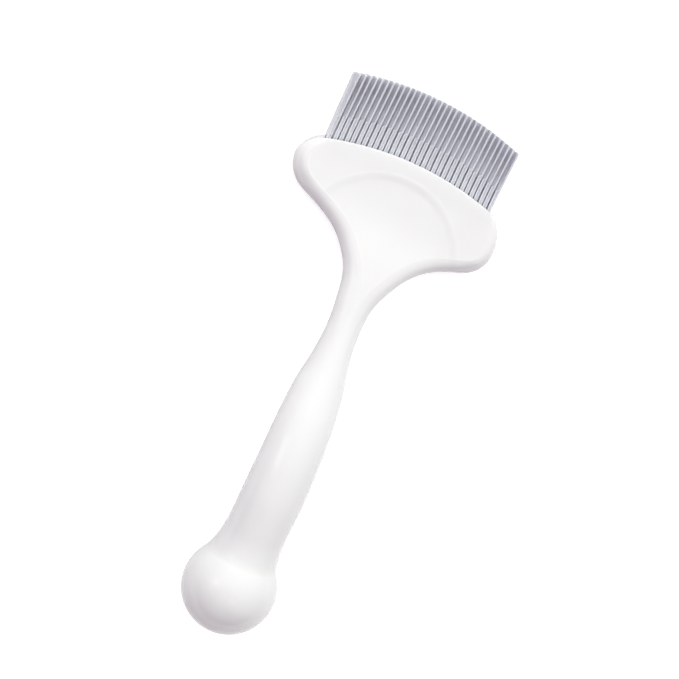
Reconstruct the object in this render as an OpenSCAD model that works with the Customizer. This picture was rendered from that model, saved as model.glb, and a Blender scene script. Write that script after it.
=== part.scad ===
// Hand comb with a ball-ended handle: two hollow handle shells joined on an arched
// joint plane, and two interleaved comb plates held in the mouth between them.
// X runs across the comb, Y along the handle towards the teeth, Z up out of the face.
// The part lies on its flat back, so Z = 0 is the surface it rests on.

/* [Handle] */
// Diameter of the ball at the end of the handle
ball_d = 33.5; // [31:0.5:35]
// Distance from the ball's end to the middle of the head's toothed edge
head_end_y = 176.3; // [172:0.1:180]
// Wall thickness of both shells
wall = 2; // [1.6:0.1:2.2]

/* [Head] */
// Width of the head across both lobes
head_w = 78.8; // [74:0.2:80]
// Thickness of the head, front face to back face
head_t = 12; // [11:0.5:14]
// Radius of each rounded lobe, seen from the front
lobe_r = 11.4; // [10:0.2:12]
// Radius of the arc that the toothed edge follows
edge_arc_r = 115; // [100:1:140]
// Width of the rounding round the head's rim
rim_round = 4; // [3:0.5:5]
// Angle by which the lobes are turned against the toothed edge
lobe_turn = 3.5; // [0:0.5:4]
// How far the middle of the fan between neck and lobes is set to the right
fan_shift = 1.1; // [0:0.1:1.5]
// How far the back shell stands past the front shell behind the teeth
back_lip = 1; // [0.5:0.1:2]

/* [Thumb panel] */
// Depth of the fan-shaped panel in the front face
panel_depth = 0.3; // [0.3:0.1:1]
// Radius of the arch that bounds the panel
panel_r = 29; // [26:0.5:31]
// Distance from the ball's end to the centre of that arch
panel_y = 141.1; // [138:0.1:143]

/* [Teeth] */
// Number of teeth in the whole comb, shared by the two plates
tooth_count = 32; // [24:2:32]
// Spacing of neighbouring teeth
tooth_pitch = 2; // [1.9:0.01:2.02]
// Length of the middle teeth beyond the head
tooth_l = 24; // [18:0.1:26]
// How much longer the left end tooth is than the middle ones, and the right one shorter
tip_skew = 0.7; // [0:0.1:1]
// Width of the rib at each tooth's root
rib_w = 1.52; // [1.3:0.01:1.6]
// Height of the rib at each tooth's root
rib_l = 8.3; // [6:0.1:10]
// Thickness of the blade's front edge above the rib; behind the bevel it is as thick as the rib
blade_t = 0.68; // [0.5:0.01:0.9]
// Depth of the bevel beside each blade's front edge
bevel_d = 0.8; // [0.5:0.1:2]
// How far the tips bend forward
tip_forward = 3.6; // [2:0.1:6]

/* [Hidden] */

ball_r = ball_d / 2;
joint_z = head_t / 2;
overall_l = head_end_y + tooth_l;
columns = 20;
ball_rings = 9;
neck_rings = 28;
lobe_rings = 10;

// The ball is a sphere up to this angle from its end, where the neck takes over
ball_end_angle = 125;
ball_start_angle = 4;
// The lobe's circle runs between these two angles, measured from the X axis
lobe_low_angle = -66;
lobe_high_angle = 57;
lobe_x = head_w / 2 - lobe_r;
mouth_half_w = lobe_x + lobe_r * cos(lobe_high_angle);
mouth_sag = edge_arc_r - sqrt(edge_arc_r ^ 2 - mouth_half_w ^ 2);
lobe_y = head_end_y - mouth_sag - lobe_r * sin(lobe_high_angle);
neck_start = [ball_r - ball_r * cos(ball_end_angle), ball_r * sin(ball_end_angle)];
neck_end = [lobe_y + lobe_r * sin(lobe_low_angle), lobe_x + lobe_r * cos(lobe_low_angle)];
neck_start_slope = cos(ball_end_angle) / sin(ball_end_angle);
neck_end_slope = -tan(lobe_low_angle);
lobe_low_round = rim_round / cos(lobe_low_angle);
panel_edge = 2.4;

// Stations up the grip and neck: distance from the ball's end, half width,
// height of the joint plane, half thickness, and width of the side rounding
STATIONS = [
    [neck_start[0], neck_start[1], ball_r, neck_start[1], neck_start[1]],
    [33.5, 11.4, 18.2, 11.2, 11.4],
    [41.5, 10.8, 20.0, 10.5, 10.8],
    [52.5, 10.9, 21.3, 10.5, 10.9],
    [66.5, 10.6, 21.3, 10.1, 10.6],
    [80.5, 10.0, 19.6, 9.3, 10.0],
    [92.5, 8.9, 17.2, 8.0, 8.9],
    [102.5, 6.9, 15.2, 6.8, 6.9],
    [113.5, 5.9, 13.6, 5.9, 5.9],
    [122.5, 6.4, 12.6, 5.6, 6.2],
    [131.5, 8.6, 11.2, 5.6, 6.2],
    [139.5, 13.4, 9.3, 5.8, 6.2],
    [146, 20.6, 7.4, 5.9, 7.2],
    [neck_end[0], neck_end[1], joint_z, joint_z, lobe_low_round]
];
START_SLOPE = [1, neck_start_slope, 0, neck_start_slope, neck_start_slope];
END_SLOPE = [1, neck_end_slope, 0, 0, 0.6];
LAST = len(STATIONS) - 1;

// The comb reaches between these two heights at its root, and the two plates meet halfway
comb_back_z = 2.6;
comb_front_z = 9.2;
plate_split_z = (comb_back_z + comb_front_z) / 2;
plate_gap = 0.05;
// The plates' tongues stop just below the head's toothed edge and reach this far in
tongue_top = 0.6;
tongue_h = 12;
tongue_half_w = tooth_pitch * (tooth_count - 1) / 2 + rib_w / 2;
// Gap between the comb's ends and the ends of the mouth
mouth_gap = 0.5;
// Small sideways offset of each plate, which makes every second root groove wider
plate_shift = 0.05;
// The tip of a blade is rounded over this length, across its whole depth
tip_round = 1;
blade_steps = 8;

// Moulded pins: three on the centre line join the shells, two lock the comb plates
post_y = [50, 84, 150];
post_r = 2.6;
pin_r = 1.5;
pin_l = 3.6;
pin_clearance = 0.1;
lock_pin_x = 22;
lock_pin_y = 166.5;
lock_pin_r = 1.6;
embed = 0.8;

function smooth(t) = let (c = max(0, min(1, t))) c * c * (3 - 2 * c);
function station_slope(i, c) =
    i == 0 ? START_SLOPE[c] :
    i == LAST ? END_SLOPE[c] :
    (STATIONS[i + 1][c] - STATIONS[i - 1][c]) / (STATIONS[i + 1][0] - STATIONS[i - 1][0]);
function station_at(y, i = 0) = i == LAST - 1 || y < STATIONS[i + 1][0] ? i : station_at(y, i + 1);
// Smooth curve through one column of the stations
function along(y, c) =
    let (i = station_at(y), y0 = STATIONS[i][0], d = STATIONS[i + 1][0] - y0, t = (y - y0) / d)
    (1 + 2 * t) * (1 - t) ^ 2 * STATIONS[i][c] + t * t * (3 - 2 * t) * STATIONS[i + 1][c]
    + d * t * (1 - t) ^ 2 * station_slope(i, c) - d * t * t * (1 - t) * station_slope(i + 1, c);
function along_slope(y, c) = (along(y + 0.05, c) - along(y - 0.05, c)) / 0.1;

// A ring is one line across the part: edge y, half width, bow of the line, joint height,
// half thickness, side rounding, then inner half width and inner half thickness
function ring_slope(y) = tan(lobe_turn) * smooth((y - 118.5) / 14) * (1 - smooth((y - 157.5) / 13));
function ring_shift(y) = fan_shift * smooth((y - 122) / 14) * (1 - smooth((y - 143) / 10));
function ring_bow(y) = mouth_sag * smooth((y - 125.5) / (head_end_y - mouth_sag - 125.5));
function ball_ring(a) =
    let (y = ball_r - ball_r * cos(a), w = ball_r * sin(a),
         w_in = sqrt(max(0.01, (ball_r - wall) ^ 2 - (y - ball_r) ^ 2)))
    [y, w, 0, ball_r, w, w, w_in, w_in];
function neck_ring(y) =
    let (w = along(y, 1), t = along(y, 3), wall_x = wall * sqrt(1 + along_slope(y, 1) ^ 2),
         wall_z = wall * sqrt(1 + along_slope(y, 3) ^ 2))
    [y, w, ring_bow(y), along(y, 2), t, along(y, 4), w - wall_x, t - wall_z];
// The inner skin closes in on the comb's two ends, so that the mouth is no wider than the comb
function lobe_ring(a, lip) =
    let (y = lobe_y + lobe_r * sin(a), w = lobe_x + lobe_r * cos(a), lifted = lip * smooth((a - 15) / 35),
         w_in = w - (a < 0 ? wall / cos(a) : wall), side = a < 0 ? rim_round / cos(a) : rim_round,
         spare = max(0, w_in - tongue_half_w - mouth_gap) * smooth((a - 5) / 30))
    [y + lifted, w, ring_bow(y), joint_z, joint_z, side, w_in - spare, joint_z - wall];
function neck_y(t) = neck_start[0] + (neck_end[0] - neck_start[0]) * (1 - (1 - t) ^ 1.3);
function rings(lip) = [
    for (k = [0 : ball_rings - 1])
        ball_ring(ball_start_angle + (ball_end_angle - ball_start_angle) * k / ball_rings),
    for (k = [0 : neck_rings - 1]) neck_ring(neck_y(k / neck_rings)),
    for (k = [0 : lobe_rings])
        lobe_ring(lobe_low_angle + (lobe_high_angle - lobe_low_angle) * k / lobe_rings, lip)
];

function panel(x, y) =
    panel_depth * smooth((panel_r - norm([x, y - panel_y])) / panel_edge) * smooth((y - 114.5) / 30);
function bulge(q, n) = (1 - (1 - q) ^ n) ^ (1 / n);
function column_u(j) = sin(-90 + 180 * j / columns);
// One point of the outer skin (side 1 is the front, -1 the back)
function outer_point(r, j, side) =
    let (u = column_u(j), x = u * r[1], y = r[0] + r[2] * (1 - u * u) - x * ring_slope(r[0]),
         f = bulge(min(1, (1 - abs(u)) * r[1] / r[5]), 2), sunk = side > 0 ? panel(x, y) * f * f : 0)
    [x + ring_shift(r[0]), y - overall_l / 2, r[3] + side * (r[4] * f - sunk)];
// The matching point of the inner skin, squarer where the comb plates sit
function inner_point(r, j, side) =
    let (u = column_u(j), x = u * r[6], y = r[0] + r[2] * (1 - (x / r[1]) ^ 2) - x * ring_slope(r[0]),
         n = 2 + 4 * smooth((r[0] - 150.5) / 12), round_in = max(0.8, r[5] - r[1] + r[6]),
         f = bulge(min(1, (1 - abs(u)) * r[6] / round_in), n),
         sunk = side > 0 ? 0.7 * panel(x, y) * f * f : 0)
    [x + ring_shift(r[0]), y - overall_l / 2, r[3] + side * (r[7] * f - sunk)];

function flip(faces, side) = side > 0 ? faces : [for (f = faces) [for (k = [len(f) - 1 : -1 : 0]) f[k]]];
// Two triangles between points a and b of one line and c and d of the next
function patch(a, b, c, d) = [[a, c, b], [b, c, d]];

module shell(side, lip) {
    lines = rings(lip);
    last = len(lines) - 1;
    first_in = 3;
    width = columns + 1;
    outer = [for (r = lines) for (j = [0 : columns]) outer_point(r, j, side)];
    inner = [for (i = [first_in : last]) for (j = [0 : columns]) inner_point(lines[i], j, side)];
    base = len(outer);
    skin = [for (i = [0 : last - 1]) for (j = [0 : columns - 1])
        each patch(i * width + j, i * width + j + 1, (i + 1) * width + j, (i + 1) * width + j + 1)];
    lining = [for (i = [0 : last - first_in - 1]) for (j = [0 : columns - 1])
        each patch(base + i * width + j + 1, base + i * width + j,
                   base + (i + 1) * width + j + 1, base + (i + 1) * width + j)];
    joint_left = [for (i = [first_in : last - 1])
        each patch(base + (i - first_in) * width, i * width,
                   base + (i + 1 - first_in) * width, (i + 1) * width)];
    joint_right = [for (i = [first_in : last - 1])
        each patch(i * width + columns, base + (i - first_in) * width + columns,
                   (i + 1) * width + columns, base + (i + 1 - first_in) * width + columns)];
    mouth = [for (j = [0 : columns - 1])
        each patch(last * width + j, last * width + j + 1,
                   base + (last - first_in) * width + j, base + (last - first_in) * width + j + 1)];
    ball_tip = [for (j = [0 : columns]) j];
    ball_lining = [for (j = [columns : -1 : 0]) base + j];
    ball_joint = [for (i = [0 : first_in]) i * width + columns, base + columns, base,
                  for (i = [first_in : -1 : 0]) i * width];
    faces = concat(skin, lining, joint_left, joint_right, mouth, [ball_tip, ball_lining, ball_joint]);
    polyhedron(concat(outer, inner), flip(faces, side), convexity = 6);
}

module along_part(y) {
    translate([0, y - overall_l / 2, 0]) children();
}

// Height of the shells' inner faces above or below the joint plane at the centre line
function inner_reach(y) = along(min(y, neck_end[0]), 3) - wall;
function joint_at(y) = along(min(y, neck_end[0]), 2);

module front_post(y) {
    top = joint_at(y) + inner_reach(y) - panel(0, y) + embed;
    foot = joint_at(y) + embed;
    along_part(y) {
        translate([0, 0, foot]) cylinder(h = top - foot, r = post_r, $fn = 48);
        translate([0, 0, foot - pin_l]) cylinder(h = pin_l + embed, r = pin_r, $fn = 48);
    }
}

module back_post(y) {
    foot = joint_at(y) - inner_reach(y) - embed;
    top = joint_at(y) - embed;
    along_part(y) difference() {
        translate([0, 0, foot]) cylinder(h = top - foot, r = post_r, $fn = 48);
        translate([0, 0, foot + 2 * embed]) cylinder(h = top - foot, r = pin_r + pin_clearance, $fn = 48);
    }
}

module front_shell() {
    color([0.96, 0.96, 0.95]) union() {
        shell(1, 0);
        for (y = post_y) front_post(y);
        along_part(lock_pin_y) for (x = [-lock_pin_x, lock_pin_x])
            translate([x, 0, wall + pin_clearance])
                cylinder(h = head_t - 2 * wall + embed, r = lock_pin_r, $fn = 48);
    }
}

module back_shell() {
    color([0.96, 0.96, 0.95]) union() {
        shell(-1, back_lip);
        for (y = post_y) back_post(y);
    }
}

function edge_y(x) = head_end_y - edge_arc_r + sqrt(edge_arc_r ^ 2 - x * x);
function tooth_x(i) = (i - (tooth_count - 1) / 2) * tooth_pitch;
function bend(y) = tip_forward * max(0, (y - 4) / (tooth_l - 4)) ^ 1.2;

// The step at the root keeps a tooth clear of the other plate's tongue
function root_step(front) = front
    ? [[-1.5, comb_front_z], [-1.5, plate_split_z + plate_gap], [-0.3, plate_split_z + plate_gap],
       [-0.3, comb_back_z]]
    : [[-0.3, comb_front_z], [-0.3, plate_split_z - plate_gap], [-1.5, plate_split_z - plate_gap],
       [-1.5, comb_back_z]];

// Side view of one rib and of one blade, with the distance from the head's edge along x
module rib_outline(front) {
    polygon(concat(root_step(front), [[rib_l, comb_back_z], [rib_l, comb_front_z]]));
}

module blade_outline(front, l) {
    depth = comb_front_z - comb_back_z;
    tip = [for (k = [0 : blade_steps]) let (a = 90 * k / blade_steps, y = l - tip_round * (1 - cos(a)))
        [y, comb_back_z + (depth + bend(y)) * sin(a)]];
    front_edge = [for (k = [blade_steps - 1 : -1 : 1]) let (y = (l - tip_round) * k / blade_steps)
        [y, comb_front_z + bend(y)]];
    polygon(concat(root_step(front), tip, front_edge));
}

module across(x, thickness) {
    translate([x, 0, 0]) rotate([90, 0, 90]) linear_extrude(thickness) children();
}

// The blade's cross-section, bevelled on the left to a thin front edge
module blade_section() {
    polygon([[rib_w / 2, comb_back_z], [-rib_w / 2, comb_back_z],
             [-rib_w / 2, comb_front_z - bevel_d], [rib_w / 2 - blade_t, comb_front_z],
             [rib_w / 2 - blade_t, comb_front_z + tip_forward + 1],
             [rib_w / 2, comb_front_z + tip_forward + 1]]);
}

module blade(front, l) {
    intersection() {
        across(-rib_w / 2, rib_w) blade_outline(front, l);
        translate([0, l + 1, 0]) rotate([90, 0, 0]) linear_extrude(l + 3) blade_section();
    }
}

module tooth(i, front) {
    x = tooth_x(i) + (front ? plate_shift : -plate_shift);
    l = tooth_l - tip_skew * tooth_x(i) / tongue_half_w;
    along_part(edge_y(tooth_x(i))) {
        across(x - rib_w / 2, rib_w) rib_outline(front);
        translate([x, 0, 0]) blade(front, l);
    }
}

module tongue(low_z, high_z) {
    along_part(head_end_y - edge_arc_r) translate([0, 0, low_z]) difference() {
        intersection() {
            cylinder(h = high_z - low_z, r = edge_arc_r - tongue_top, $fn = 128);
            translate([-tongue_half_w, 0, 0]) cube([2 * tongue_half_w, edge_arc_r, high_z - low_z]);
        }
        translate([0, 0, -1]) cylinder(h = high_z - low_z + 2, r = edge_arc_r - tongue_h, $fn = 128);
        for (x = [-lock_pin_x, lock_pin_x])
            translate([x, lock_pin_y - head_end_y + edge_arc_r, -1])
                cylinder(h = high_z - low_z + 2, r = lock_pin_r + pin_clearance, $fn = 48);
    }
}

module front_comb_plate() {
    color([0.78, 0.79, 0.82]) union() {
        tongue(plate_split_z + plate_gap, comb_front_z);
        for (i = [1 : 2 : tooth_count - 1]) tooth(i, true);
    }
}

module rear_comb_plate() {
    color([0.74, 0.75, 0.78]) union() {
        tongue(comb_back_z, plate_split_z - plate_gap);
        for (i = [0 : 2 : tooth_count - 1]) tooth(i, false);
    }
}

front_shell();
back_shell();
front_comb_plate();
rear_comb_plate();
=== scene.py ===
import math

import bpy
import numpy as np
from mathutils import Matrix, Vector


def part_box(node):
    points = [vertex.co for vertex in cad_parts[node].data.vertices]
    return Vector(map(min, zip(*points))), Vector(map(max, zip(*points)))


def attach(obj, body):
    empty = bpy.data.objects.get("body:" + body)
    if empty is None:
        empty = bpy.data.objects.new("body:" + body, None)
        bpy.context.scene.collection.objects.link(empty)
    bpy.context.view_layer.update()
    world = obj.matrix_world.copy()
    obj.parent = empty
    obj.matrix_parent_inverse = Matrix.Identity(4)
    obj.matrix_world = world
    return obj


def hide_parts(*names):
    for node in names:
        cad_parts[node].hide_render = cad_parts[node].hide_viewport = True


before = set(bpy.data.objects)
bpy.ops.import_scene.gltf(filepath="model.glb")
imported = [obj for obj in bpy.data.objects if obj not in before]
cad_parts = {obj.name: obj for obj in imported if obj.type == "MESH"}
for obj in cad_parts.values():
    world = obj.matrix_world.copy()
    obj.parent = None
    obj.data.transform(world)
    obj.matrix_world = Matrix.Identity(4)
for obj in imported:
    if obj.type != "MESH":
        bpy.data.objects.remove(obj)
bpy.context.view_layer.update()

# Sizes in millimetres, the same as the CAD part's. Y starts at the ball's end.
BALL_R = 33.5 / 2
HEAD_END = 176.3
HEAD_W, HEAD_T, LOBE_R, EDGE_R = 78.8, 12.0, 11.4, 115.0
RIM, LOBE_TURN, FAN_SHIFT, LIP, WALL = 4.0, 3.5, 1.1, 1.0, 2.0
PANEL_DEPTH, PANEL_R, PANEL_Y, PANEL_EDGE = 0.3, 29.0, 141.1, 2.4
TEETH, PITCH, TOOTH_L, TIP_SKEW = 32, 2.0, 24.0, 0.7
RIB_W, RIB_L, BLADE_T, TIP_FORWARD, TIP_ROUND = 1.52, 8.3, 0.68, 3.6, 1.0
COMB_BACK, COMB_FRONT = 2.6, 9.2
BEVEL, DISH = 0.8, 0.3
# The teeth reach ROOT_IN into the mouth, and past ROOT_STEP a tooth is clear of the other plate's tongue
PLATE_GAP, PLATE_SHIFT, ROOT_IN, ROOT_STEP = 0.05, 0.05, 1.5, 0.3
TONGUE_TOP, TONGUE_L = 0.6, 11.4
# Corner radii of a tooth's front: in the mouth, on the rib and on the blade
ROOT_SOFT, RIB_SOFT, BLADE_SOFT = 0.12, 0.24, 0.2
# Where the head's edge starts to bow, the parting groove's depth, and the round of the mouth's outer edge
BOW_START, GROOVE, MOUTH_ROUND, MOUTH_DROP = 125.5, 0.05, 0.45, 0.36
SPLIT = (COMB_BACK + COMB_FRONT) / 2
OVERALL = HEAD_END + TOOTH_L
JOINT_Z = HEAD_T / 2
MM = 0.001

LOBE_X = HEAD_W / 2 - LOBE_R
HIGH, LOW = math.radians(57), math.radians(-66)
MOUTH_W = LOBE_X + LOBE_R * math.cos(HIGH)
COMB_HALF = PITCH * (TEETH - 1) / 2 + RIB_W / 2
MOUTH_IN = COMB_HALF + 0.2
SAG = EDGE_R - math.sqrt(EDGE_R**2 - MOUTH_W**2)
LOBE_Y = HEAD_END - SAG - LOBE_R * math.sin(HIGH)
BALL_END = math.radians(125)
NECK_START = (BALL_R - BALL_R * math.cos(BALL_END), BALL_R * math.sin(BALL_END))
NECK_END = (LOBE_Y + LOBE_R * math.sin(LOW), LOBE_X + LOBE_R * math.cos(LOW))

# Stations up the grip and neck: y, half width, joint height, half thickness, side rounding
STATIONS = np.array([
    (NECK_START[0], NECK_START[1], BALL_R, NECK_START[1], NECK_START[1]),
    (33.5, 11.4, 18.2, 11.2, 11.4),
    (41.5, 10.8, 20.0, 10.5, 10.8),
    (52.5, 10.9, 21.3, 10.5, 10.9),
    (66.5, 10.6, 21.3, 10.1, 10.6),
    (80.5, 10.0, 19.6, 9.3, 10.0),
    (92.5, 8.9, 17.2, 8.0, 8.9),
    (102.5, 6.9, 15.2, 6.8, 6.9),
    (113.5, 5.9, 13.6, 5.9, 5.9),
    (122.5, 6.4, 12.6, 5.6, 6.2),
    (131.5, 8.6, 11.2, 5.6, 6.2),
    (139.5, 13.4, 9.3, 5.8, 6.2),
    (146, 20.6, 7.4, 5.9, 7.2),
    (NECK_END[0], NECK_END[1], JOINT_Z, JOINT_Z, RIM / math.cos(LOW)),
])
START_SLOPE = np.array([1, 1 / math.tan(BALL_END), 0, 1 / math.tan(BALL_END), 1 / math.tan(BALL_END)])
END_SLOPE = np.array([1, -math.tan(LOW), 0, 0, 0.6])


def smooth(t):
    """A soft step from 0 to 1 as t goes from 0 to 1."""
    c = np.clip(t, 0, 1)
    return c * c * (3 - 2 * c)


def stations_at(y):
    """The five station columns at every y, on smooth Hermite curves."""
    ys = STATIONS[:, 0]
    slope = np.empty_like(STATIONS)
    slope[0], slope[-1] = START_SLOPE, END_SLOPE
    slope[1:-1] = (STATIONS[2:] - STATIONS[:-2]) / (ys[2:] - ys[:-2])[:, None]
    i = np.clip(np.searchsorted(ys, y, side="right") - 1, 0, len(ys) - 2)
    d = (ys[i + 1] - ys[i])[:, None]
    t = ((y - ys[i]) / d[:, 0])[:, None]
    return ((1 + 2 * t) * (1 - t) ** 2 * STATIONS[i] + t * t * (3 - 2 * t) * STATIONS[i + 1]
            + d * t * (1 - t) ** 2 * slope[i] - d * t * t * (1 - t) * slope[i + 1])


def gauss(sigma, step):
    """Weights of a bell curve, for values that lie step apart."""
    reach = int(3 * sigma / step)
    kernel = np.exp(-0.5 * (np.arange(-reach, reach + 1) * step / sigma) ** 2)
    return kernel / kernel.sum()


def relaxed(values, y, sigma, keep):
    """Values smoothed along y, and left alone close to both ends, so that gloss runs evenly."""
    kernel = gauss(sigma, y[1] - y[0])
    reach = len(kernel) // 2
    before = values[0] + (values[0] - values[1])[None] * np.arange(reach, 0, -1)[:, None]
    after = values[-1] + (values[-1] - values[-2])[None] * np.arange(1, reach + 1)[:, None]
    padded = np.vstack([before, values, after])
    soft = np.stack([np.convolve(padded[:, c], kernel, "valid") for c in range(values.shape[1])], 1)
    blend = smooth(np.minimum(y - y[0], y[-1] - y) / keep)[:, None]
    return values + (soft - values) * blend


def ring_bow(y):
    """How far the middle of a ring lies ahead of its ends."""
    return SAG * smooth((y - BOW_START) / (HEAD_END - SAG - BOW_START))


def rings(lip, neck_step, lobe_count):
    """One row per ring: y, half width, bow, joint height, half thickness, side rounding."""
    a = np.radians(np.concatenate([[0.6, 1.5, 2.8], np.linspace(4.5, 125, 64)]))[:-1]
    ball = np.stack([BALL_R - BALL_R * np.cos(a), BALL_R * np.sin(a), 0 * a, 0 * a + BALL_R,
                     BALL_R * np.sin(a), BALL_R * np.sin(a)], 1)
    y = np.linspace(NECK_START[0], NECK_END[0], int((NECK_END[0] - NECK_START[0]) / neck_step) + 1)
    s = relaxed(stations_at(y), y, 1.8, 6.0)
    w, z, t, rim = s[:, 1], s[:, 2], s[:, 3], s[:, 4]
    # the last stretch spreads fast, so its rings lie at even distances along the outline
    run = np.concatenate([[0], np.cumsum(np.hypot(np.diff(y), np.diff(w)))])
    even = np.linspace(0, run[-1], int(run[-1] / neck_step) + 1)[:-1]
    y, w, z, t, rim = (np.interp(even, run, v) for v in (y, w, z, t, rim))
    neck = np.stack([y, w, ring_bow(y), z, t, rim], 1)
    a = np.linspace(LOW, HIGH, lobe_count)
    extra = HIGH - np.radians([2.4, 1.8, 1.3, 0.9, 0.55, 0.3, 0.12])
    a = np.unique(np.concatenate([a, extra]))
    y = LOBE_Y + LOBE_R * np.sin(a)
    rim = np.where(a < 0, RIM / np.cos(a), RIM)
    lobe = np.stack([y + lip * smooth((np.degrees(a) - 15) / 35), LOBE_X + LOBE_R * np.cos(a),
                     ring_bow(y), 0 * a + JOINT_Z, 0 * a + JOINT_Z, rim], 1)
    made = np.vstack([neck, lobe])
    y, w = made[:, 0], made[:, 1]
    # the face runs into the head on one soft curve: joint height and thickness, round the lobes' start
    near = smooth((y - 136) / 8) * (1 - smooth((y - 158) / 8))
    for k in (3, 4):
        made[:, k] += (softened(y, made[:, k], 3.2) - made[:, k]) * near
    # the fold runs parallel to the outline, and the rim is the distance between the two on every ring
    run = np.concatenate([[0], np.cumsum(np.hypot(np.diff(y), np.diff(w)))])
    along_y, along_w = np.gradient(y, run), np.gradient(w, run)
    inset = softened(run, made[:, 5] * along_y, 4.0)
    low = y < LOBE_Y
    fold = np.interp(y, (y + along_w * inset)[low], (w - along_y * inset)[low])
    blend = smooth((y - 126) / 10) * (1 - smooth((y - LOBE_Y + 6) / 6))
    made[:, 5] += (w - fold - made[:, 5]) * blend
    return np.vstack([ball, made])


def softened(at, values, sigma):
    """Values known at uneven places, smoothed over that distance."""
    step = 0.25
    even = np.arange(at[0], at[-1] + step, step)
    kernel = gauss(sigma, step)
    padded = np.pad(np.interp(even, at, values), len(kernel) // 2, "edge")
    return np.interp(at, even, np.convolve(padded, kernel, "valid"))


def columns(w, rim, face_count, rim_count):
    """X positions across every ring: fine steps on both rims, even steps on the face."""
    split = np.maximum(w - rim, 0.3 * w)[:, None]
    turn = np.linspace(0, math.pi / 2, rim_count + 1)[None, :-1]
    out = split + (w[:, None] - split) * np.cos(turn)
    face = split * np.linspace(1, -1, face_count + 1)[None, :]
    return np.hstack([out, face, -out[:, ::-1]])[:, ::-1]


def rim_profile(q, crisp):
    """Height share from the joint to the face across the rim; crisp keeps a fold where it ends."""
    k = 1 - 0.08 * crisp
    top = np.sqrt(1 - (1 - k) ** 2)
    return np.sqrt(np.clip(1 - (1 - q * k) ** 2, 0, 1)) / top


def panel_drop(x, y):
    """Depth of the fan panel under the face, less the thin bead along its edge."""
    inside = PANEL_R - np.hypot(x, y - PANEL_Y)
    fade = smooth((y - 114.5) / 30)
    bead = 0.07 * np.exp(-((inside + 0.4) / 0.5) ** 2) * smooth((y - 132) / 14)
    return PANEL_DEPTH * smooth(inside / PANEL_EDGE) * fade - bead


def ring_slope(y):
    """How much a ring is turned, which turns the lobes against the toothed edge."""
    return math.tan(math.radians(LOBE_TURN)) * smooth((y - 118.5) / 14) * (1 - smooth((y - 157.5) / 13))


def ring_shift(y):
    """How far a ring is moved sideways, which sets the fan off centre."""
    return FAN_SHIFT * smooth((y - 122) / 14) * (1 - smooth((y - 143) / 10))


def skin(r, side, face_count, rim_count):
    """Points of the outer surface, one row per ring."""
    y0, w, bow, z, t, rim = (r[:, k][:, None] for k in range(6))
    x = columns(r[:, 1], r[:, 5], face_count, rim_count)
    u = x / w
    y = y0 + bow * (1 - u * u) - x * ring_slope(y0)
    q = np.clip((w - np.abs(x)) / rim, 0, 1)
    crisp = smooth((y0 - 104) / 22)
    f = rim_profile(q, crisp)
    drop = np.zeros_like(x)
    if side > 0:
        past = w - np.abs(x) - rim
        fold = 0.045 * np.exp(-(past / 0.5) ** 2) * smooth((y0 - 112) / 20)
        drop = panel_drop(x, y) * f * f - fold
    # the mouth's outer edge is rounded
    left = np.clip(1 - (r[-1, 0] - y0) / MOUTH_ROUND, 0, 1)
    drop = drop + MOUTH_DROP * (1 - np.sqrt(1 - left**2)) * f
    height = z + side * (t * f - drop)
    x = x + ring_shift(y0)
    # a fine parting groove runs along the joint
    x[:, 0] += GROOVE
    x[:, -1] -= GROOVE
    return np.stack([x, y - OVERALL / 2, height], -1)


def lining(r, side, face_count, rim_count):
    """Points of the mouth's inner surface behind the last rings."""
    y0, w, bow = (r[:, k][:, None] for k in range(3))
    w_in = np.minimum(w - WALL, MOUTH_IN)
    x = columns(r[:, 1], r[:, 5], face_count, rim_count) / w * w_in
    y = y0 + bow * (1 - (x / w) ** 2) - x * ring_slope(y0)
    q = np.clip((w_in - np.abs(x)) / 0.2, 0, 1)
    f = (1 - (1 - q) ** 6) ** (1 / 6)
    return np.stack([x, y - OVERALL / 2, JOINT_Z + side * (JOINT_Z - WALL) * f + 0 * x], -1)


def mesh_object(name, verts, faces, angle):
    """A smooth-shaded object from points in millimetres, with edges sharper than angle kept sharp."""
    me = bpy.data.meshes.new(name)
    me.from_pydata((np.asarray(verts) * MM).tolist(), [], faces)
    me.validate()
    me.update()
    ob = bpy.data.objects.new(name, me)
    bpy.context.scene.collection.objects.link(ob)
    me.polygons.foreach_set("use_smooth", [True] * len(me.polygons))
    me.set_sharp_from_angle(angle=math.radians(angle))
    return ob


def within(points, node):
    """Points kept inside the CAD node's own box."""
    low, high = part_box(node)
    return np.clip(points, np.array(low) / MM, np.array(high) / MM)


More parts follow.
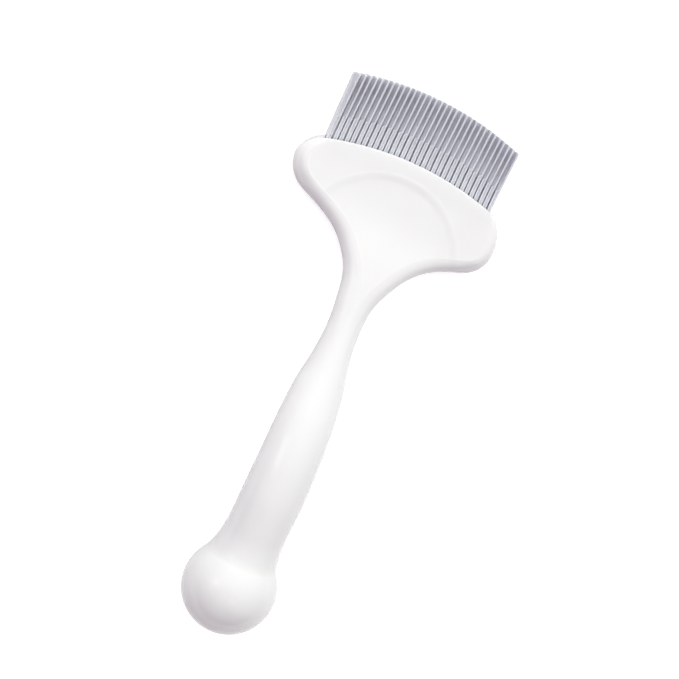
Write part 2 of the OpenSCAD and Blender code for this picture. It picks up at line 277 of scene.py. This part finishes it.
def build_shell(name, node, side, lip, face_count, rim_count, neck_step, lobe_count):
    """One half of the body as a closed skin: outer face, mouth lining and joint face."""
    r = rings(lip, neck_step, lobe_count)
    outer = skin(r, side, face_count, rim_count)
    count, width = outer.shape[:2]
    deep = count - int(np.sum(r[:, 0] > 166.0))
    inner = lining(r[deep:], side, face_count, rim_count)
    verts = within(np.vstack([outer.reshape(-1, 3), inner.reshape(-1, 3)]), node)
    base = count * width

    def grid(i, j):
        return i * width + j

    def ins(i, j):
        return base + i * width + j

    faces = []
    for i in range(count - 1):
        for j in range(width - 1):
            faces.append((grid(i, j), grid(i, j + 1), grid(i + 1, j + 1), grid(i + 1, j)))
    rows = count - deep
    for i in range(rows - 1):
        for j in range(width - 1):
            faces.append((ins(i, j + 1), ins(i, j), ins(i + 1, j), ins(i + 1, j + 1)))
        faces.append((ins(i, 0), grid(deep + i, 0), grid(deep + i + 1, 0), ins(i + 1, 0)))
        faces.append((grid(deep + i, width - 1), ins(i, width - 1), ins(i + 1, width - 1),
                      grid(deep + i + 1, width - 1)))
    for j in range(width - 1):
        faces.append((grid(count - 1, j), grid(count - 1, j + 1), ins(rows - 1, j + 1), ins(rows - 1, j)))
    for i in range(deep):
        faces.append((grid(i, width - 1), grid(i, 0), grid(i + 1, 0), grid(i + 1, width - 1)))
    faces.append([ins(0, j) for j in range(width)])
    faces.append([grid(0, j) for j in range(width - 1, -1, -1)])
    # closes the step between the joint face and the mouth's back wall
    faces.append((grid(deep, 0), ins(0, 0), ins(0, width - 1), grid(deep, width - 1)))
    if side < 0:
        faces = [tuple(reversed(f)) for f in faces]
    ob = mesh_object(name, verts, faces, 38)
    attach(ob, "root")
    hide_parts(node)
    return ob


def edge_y(x):
    """The toothed edge's curve."""
    return HEAD_END - EDGE_R + math.sqrt(EDGE_R**2 - x * x)


def tooth_x(i):
    """The middle of tooth i."""
    return (i - (TEETH - 1) / 2) * PITCH


def bend(y):
    """How far a tooth's front leans forward at that height above its root."""
    return TIP_FORWARD * max(0.0, (y - 4) / (TOOTH_L - 4)) ** 1.2


def tooth_section(foot_left, left, right, low, high, soft, dish):
    """Outline seen along the tooth, from the lower left corner round to the foot of the left side's bevel.

    The tooth is as wide as its rib up to the bevel, which leans in to left at the comb's front plane.
    dish is the depth of the hollow along the rib's front."""
    def left_at(z):
        return foot_left + (left - foot_left) * min(1.0, max(0.0, (z - COMB_FRONT + BEVEL) / BEVEL))
    top_left = left_at(high)
    foot = min(0.1, (high - low) * 0.3)
    top = min(soft, (right - top_left) * 0.46, (high - low) * 0.45)
    points = []
    for cx, cz, start, rad in ((foot_left, low, 180, foot), (right, low, 270, foot),
                               (right, high, 0, top), (top_left, high, 90, top)):
        mx = cx + (rad if cx < right else -rad)
        mz = cz + (rad if cz == low else -rad)
        for k in range(5):
            a = math.radians(start + 90 * k / 4)
            points.append((mx + rad * math.cos(a), mz + rad * math.sin(a)))
        if start == 0:
            points.append(((top_left + right) / 2, high - dish))
    for z in (COMB_FRONT, COMB_FRONT - BEVEL):
        z = min(max(z, low + foot), high - top)
        points.append((left_at(z), z))
    return points


def tooth(i, front, verts, faces):
    """One tooth as a closed loft from its root to its tip: a rib, a step, then the blade."""
    shift = PLATE_SHIFT if front else -PLATE_SHIFT
    x, y0 = tooth_x(i) + shift, edge_y(tooth_x(i))
    length = TOOTH_L - TIP_SKEW * tooth_x(i) / COMB_HALF
    right, rib_left, blade_left = x + RIB_W / 2, x - RIB_W / 2, x + RIB_W / 2 - BLADE_T
    low_in = SPLIT + PLATE_GAP if front else COMB_BACK
    high_in = COMB_FRONT if front else SPLIT - PLATE_GAP
    # each row: height above the root, left edge, back, front, corner radius, slant, hollow
    rows = [(-ROOT_IN, rib_left, low_in, high_in, ROOT_SOFT, 0, 0),
            (-0.32, rib_left, low_in, high_in, ROOT_SOFT, 0, 0),
            (-ROOT_STEP, rib_left, COMB_BACK, COMB_FRONT, RIB_SOFT, 0, DISH)]
    rows += [(y, rib_left, COMB_BACK, COMB_FRONT + bend(y), RIB_SOFT, 0, DISH)
             for y in np.linspace(0.2, RIB_L - 0.6, 6)]
    for k in range(6):
        a = math.pi / 2 * k / 5
        y = RIB_L - 0.35 + 0.35 * math.sin(a)
        edge = rib_left + 0.3 * (1 - math.cos(a))
        rows.append((y, edge, COMB_BACK, COMB_FRONT + bend(y), RIB_SOFT, 0, DISH * (5 - k) / 5))
    rows.append((RIB_L + 0.12, blade_left - 0.08, COMB_BACK, COMB_FRONT + bend(RIB_L), BLADE_SOFT, 1, 0))
    rows.append((RIB_L + 0.3, blade_left, COMB_BACK, COMB_FRONT + bend(RIB_L), BLADE_SOFT, 1, 0))
    rows += [(y, blade_left, COMB_BACK, COMB_FRONT + bend(y), BLADE_SOFT, 0, 0)
             for y in np.linspace(RIB_L + 1.3, length - TIP_ROUND - 0.3, 14)]
    depth = COMB_FRONT - COMB_BACK
    for k in range(13):
        a = math.radians(90 - 88 * k / 12)
        y = length - TIP_ROUND * (1 - math.cos(a))
        front_z = COMB_BACK + (depth + bend(y)) * math.sin(a)
        rows.append((y, blade_left, COMB_BACK, front_z, BLADE_SOFT, 0, 0))
    start = len(verts)
    for y, left, low, high, soft, slant, dish in rows:
        section = tooth_section(rib_left, left, right, low, high, soft, dish)
        for px, pz in section:
            # the step above the rib slants up towards the bevel's foot
            lean = 0.3 * slant * min(1.0, max(0.0, COMB_FRONT - pz) / BEVEL)
            verts.append((px, y0 + y + lean - OVERALL / 2, pz))
    n = len(section)
    for r in range(len(rows) - 1):
        for k in range(n):
            a, b = start + r * n + k, start + r * n + (k + 1) % n
            faces.append((a, a + n, b + n, b))
    faces.append([start + k for k in range(n)])
    faces.append([start + (len(rows) - 1) * n + k for k in range(n - 1, -1, -1)])


def tongue(low, high, verts, faces):
    """The plate that carries the teeth, as a curved bar inside the head's mouth."""
    start, count = len(verts), 49
    for k in range(count):
        x = -COMB_HALF + 2 * COMB_HALF * k / (count - 1)
        y_top = edge_y(x) - TONGUE_TOP - OVERALL / 2
        y_low = y_top - TONGUE_L
        for y, z in ((y_low, low), (y_low, high), (y_top, high), (y_top, low)):
            verts.append((x, y, z))
    for k in range(count - 1):
        for c in range(4):
            a, b = start + 4 * k + c, start + 4 * k + (c + 1) % 4
            faces.append((a, b, b + 4, a + 4))
    faces.append([start + 3, start + 2, start + 1, start])
    faces.append([start + 4 * (count - 1) + c for c in range(4)])


def build_comb(name, node, front):
    """One plate: its tongue and every second tooth."""
    verts, faces = [], []
    low, high = (SPLIT + PLATE_GAP, COMB_FRONT) if front else (COMB_BACK, SPLIT - PLATE_GAP)
    tongue(low, high, verts, faces)
    for i in range(1 if front else 0, TEETH, 2):
        tooth(i, front, verts, faces)
    ob = mesh_object(name, within(np.array(verts), node), faces, 42)
    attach(ob, "root")
    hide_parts(node)
    return ob


# ---------- materials ----------

def node_material(name):
    """A new node material, with its nodes, its links and its main shader."""
    m = bpy.data.materials.new(name)
    m.use_nodes = True
    nodes, links = m.node_tree.nodes, m.node_tree.links
    return m, nodes, links, nodes["Principled BSDF"]


def noise(nodes, links, source, scale, detail, rough, stretch=(1, 1, 1)):
    """Noise from 0 to 1, with fewer changes along an axis where stretch is small."""
    mapping = nodes.new("ShaderNodeMapping")
    mapping.inputs["Scale"].default_value = stretch
    links.new(source, mapping.inputs["Vector"])
    n = nodes.new("ShaderNodeTexNoise")
    n.inputs["Scale"].default_value = scale
    n.inputs["Detail"].default_value = detail
    n.inputs["Roughness"].default_value = rough
    links.new(mapping.outputs["Vector"], n.inputs["Vector"])
    return n.outputs["Fac"]


def ramp(nodes, links, source, low, high, a, b):
    """Takes low to a and high to b, evenly in between."""
    n = nodes.new("ShaderNodeMapRange")
    n.inputs["From Min"].default_value = low
    n.inputs["From Max"].default_value = high
    n.inputs["To Min"].default_value = a
    n.inputs["To Max"].default_value = b
    links.new(source, n.inputs["Value"])
    return n.outputs["Result"]


def tint(nodes, links, factor, a, b):
    """A colour between a and b."""
    n = nodes.new("ShaderNodeMix")
    n.data_type = "RGBA"
    links.new(factor, n.inputs["Factor"])
    n.inputs["A"].default_value = (*a, 1)
    n.inputs["B"].default_value = (*b, 1)
    return n.outputs["Result"]


def bumps(nodes, links, bsdf, layers):
    """Adds bump layers, each (height, distance, strength), one on top of the other."""
    last = None
    for height, distance, strength in layers:
        n = nodes.new("ShaderNodeBump")
        n.inputs["Distance"].default_value = distance
        n.inputs["Strength"].default_value = strength
        links.new(height, n.inputs["Height"])
        if last is not None:
            links.new(last, n.inputs["Normal"])
        last = n.outputs["Normal"]
    links.new(last, bsdf.inputs["Normal"])


def translucent(bsdf, weight, scale):
    """Lets light spread inside the plastic, the same way in every colour."""
    bsdf.inputs["Subsurface Weight"].default_value = weight
    bsdf.inputs["Subsurface Radius"].default_value = (1.0, 1.0, 1.0)
    bsdf.inputs["Subsurface Scale"].default_value = scale


def white_plastic(name, cloud, deep):
    """Glossy moulded white: faint clouding, slight flow waviness, fine handling scratches."""
    m, nodes, links, bsdf = node_material(name)
    where = nodes.new("ShaderNodeTexCoord").outputs["Object"]
    clouds = noise(nodes, links, where, 28, 3, 0.55)
    links.new(tint(nodes, links, ramp(nodes, links, clouds, 0.3, 0.7, 0, 1), cloud, deep),
              bsdf.inputs["Base Color"])
    wear = noise(nodes, links, where, 60, 5, 0.6)
    links.new(ramp(nodes, links, wear, 0.35, 0.7, 0.17, 0.27), bsdf.inputs["Roughness"])
    flow = noise(nodes, links, where, 45, 2, 0.4)
    scratch = noise(nodes, links, where, 900, 2, 0.5, (1.0, 0.06, 1.0))
    grain = noise(nodes, links, where, 2600, 2, 0.5)
    bumps(nodes, links, bsdf, [(flow, 0.0006, 0.05), (scratch, 0.00002, 0.10), (grain, 0.00001, 0.10)])
    bsdf.inputs["IOR"].default_value = 1.5
    bsdf.inputs["Coat Weight"].default_value = 0.25
    bsdf.inputs["Coat Roughness"].default_value = 0.08
    translucent(bsdf, 0.7, 0.003)
    return m


def grey_plastic(name, light, dark):
    """Cool grey comb plastic: slight streaks along the teeth, satin gloss, drag lines from use."""
    m, nodes, links, bsdf = node_material(name)
    where = nodes.new("ShaderNodeTexCoord").outputs["Object"]
    streaks = noise(nodes, links, where, 320, 3, 0.55, (1.0, 0.12, 0.6))
    links.new(tint(nodes, links, ramp(nodes, links, streaks, 0.3, 0.7, 0, 1), light, dark),
              bsdf.inputs["Base Color"])
    rub = noise(nodes, links, where, 150, 4, 0.6)
    links.new(ramp(nodes, links, rub, 0.35, 0.7, 0.26, 0.38), bsdf.inputs["Roughness"])
    drag = noise(nodes, links, where, 2400, 2, 0.5, (1.0, 0.05, 0.4))
    grain = noise(nodes, links, where, 5000, 2, 0.5)
    bumps(nodes, links, bsdf, [(drag, 0.00001, 0.08), (grain, 0.000005, 0.06)])
    bsdf.inputs["IOR"].default_value = 1.49
    translucent(bsdf, 1.0, 0.0015)
    return m


# ---------- the object ----------

front = build_shell("front_skin", "front_shell", 1, 0.0, 190, 26, 0.42, 60)
back = build_shell("back_skin", "back_shell", -1, LIP, 80, 22, 0.7, 44)
front_comb = build_comb("front_teeth", "front_comb_plate", True)
rear_comb = build_comb("rear_teeth", "rear_comb_plate", False)

front.data.materials.append(white_plastic("front_white", (0.86, 0.86, 0.855), (0.835, 0.835, 0.825)))
back.data.materials.append(white_plastic("back_white", (0.85, 0.85, 0.845), (0.825, 0.825, 0.815)))
front_comb.data.materials.append(grey_plastic("front_grey", (0.66, 0.67, 0.715), (0.62, 0.63, 0.68)))
rear_comb.data.materials.append(grey_plastic("rear_grey", (0.64, 0.65, 0.695), (0.60, 0.61, 0.66)))

# ---------- floor, camera, light ----------

YAW, PITCH_DOWN, ROLL, DIST = math.radians(11.5), math.radians(-3.53), math.radians(24.25), 545.0
AIM = Vector((0.06, 10.43, 15.0))
# Width of the camera's sensor, and of what it sees at the aim point
SENSOR_W, VIEW_W = 36, 234.255
toward = Vector((-math.sin(YAW) * math.cos(PITCH_DOWN), -math.sin(PITCH_DOWN),
                 math.cos(YAW) * math.cos(PITCH_DOWN)))
up = Vector((0, 1, 0)) - toward * toward.y
up.normalize()
right = (-toward).cross(up)
cam_x = right * math.cos(ROLL) + up * math.sin(ROLL)
cam_y = -right * math.sin(ROLL) + up * math.cos(ROLL)
camera = bpy.data.cameras.new("camera")
camera.sensor_width = SENSOR_W
camera.lens = SENSOR_W * DIST / VIEW_W
camera.clip_start, camera.clip_end = 0.01, 20
view = bpy.data.objects.new("camera", camera)
bpy.context.scene.collection.objects.link(view)
place = Matrix((cam_x, cam_y, toward)).transposed().to_4x4()
place.translation = (AIM + toward * DIST) * MM
view.matrix_world = place
bpy.context.scene.camera = view

# metres: half the floor's width, and its height just under the comb
FLOOR_HALF, FLOOR_Z = 3, -0.00005
corners = [(x * FLOOR_HALF, y * FLOOR_HALF, FLOOR_Z) for x, y in ((-1, -1), (1, -1), (1, 1), (-1, 1))]
floor_mesh = bpy.data.meshes.new("floor")
floor_mesh.from_pydata(corners, [], [(0, 1, 2, 3)])
floor = bpy.data.objects.new("floor", floor_mesh)
bpy.context.scene.collection.objects.link(floor)
floor_white, _, _, bsdf = node_material("floor_white")
bsdf.inputs["Base Color"].default_value = (0.7, 0.7, 0.7, 1)
bsdf.inputs["Roughness"].default_value = 0.85
bsdf.inputs["Specular IOR Level"].default_value = 0.1
bsdf.inputs["Emission Color"].default_value = (1, 1, 1, 1)
bsdf.inputs["Emission Strength"].default_value = 0.6
floor.data.materials.append(floor_white)
floor.visible_diffuse = False


def softbox(name, direction, distance, size, size_y, watts, color=(1, 1, 1), mirrored=True):
    """An area light in that direction from the aim point, along the camera's right, up and back.

    One that isn't mirrored lights the comb without showing in its gloss."""
    light = bpy.data.lights.new(name, "AREA")
    light.shape = "RECTANGLE"
    light.size, light.size_y = size, size_y
    light.energy = watts
    light.color = color
    ob = bpy.data.objects.new(name, light)
    bpy.context.scene.collection.objects.link(ob)
    d = (cam_x * direction[0] + cam_y * direction[1] + toward * direction[2]).normalized()
    ob.location = AIM * MM + d * distance
    ob.rotation_mode = "QUATERNION"
    ob.rotation_quaternion = d.to_track_quat("Z", "Y")
    ob.visible_glossy = mirrored


softbox("front_light", (0.2, 0.3, 1.0), 0.65, 0.6, 0.6, 2.1, mirrored=False)
softbox("right_window", (1.0, 0.85, 0.36), 1.2, 0.2, 0.34, 1.6)
softbox("left_panel", (-0.6, 0.25, 1.0), 1.3, 0.3, 0.5, 0.8, (0.97, 0.96, 1.0))
softbox("left_fill", (-1.0, 0.45, 0.6), 1.3, 0.9, 0.9, 0.5, (0.98, 0.97, 1.0), mirrored=False)
softbox("head_fill", (-0.6, 0.75, 0.28), 0.3, 0.12, 0.12, 0.05, mirrored=False)

# the room is lilac grey towards the lower left and neutral towards the light
world = bpy.data.worlds.new("studio")
world.use_nodes = True
wn, wl = world.node_tree.nodes, world.node_tree.links
dot = wn.new("ShaderNodeVectorMath")
dot.operation = "DOT_PRODUCT"
wl.new(wn.new("ShaderNodeTexCoord").outputs["Generated"], dot.inputs[0])
dot.inputs[1].default_value = (-cam_x * 0.8 - cam_y - toward * 0.3).normalized()
away = ramp(wn, wl, dot.outputs["Value"], 0.1, 0.6, 0, 1)
wl.new(tint(wn, wl, away, (1.0, 1.0, 1.0), (0.18, 0.08, 0.17)), wn["Background"].inputs["Color"])
wn["Background"].inputs["Strength"].default_value = 0.76
bpy.context.scene.world = world
bpy.context.scene.view_settings.view_transform = "Standard"
bpy.context.scene.view_settings.look = "None"
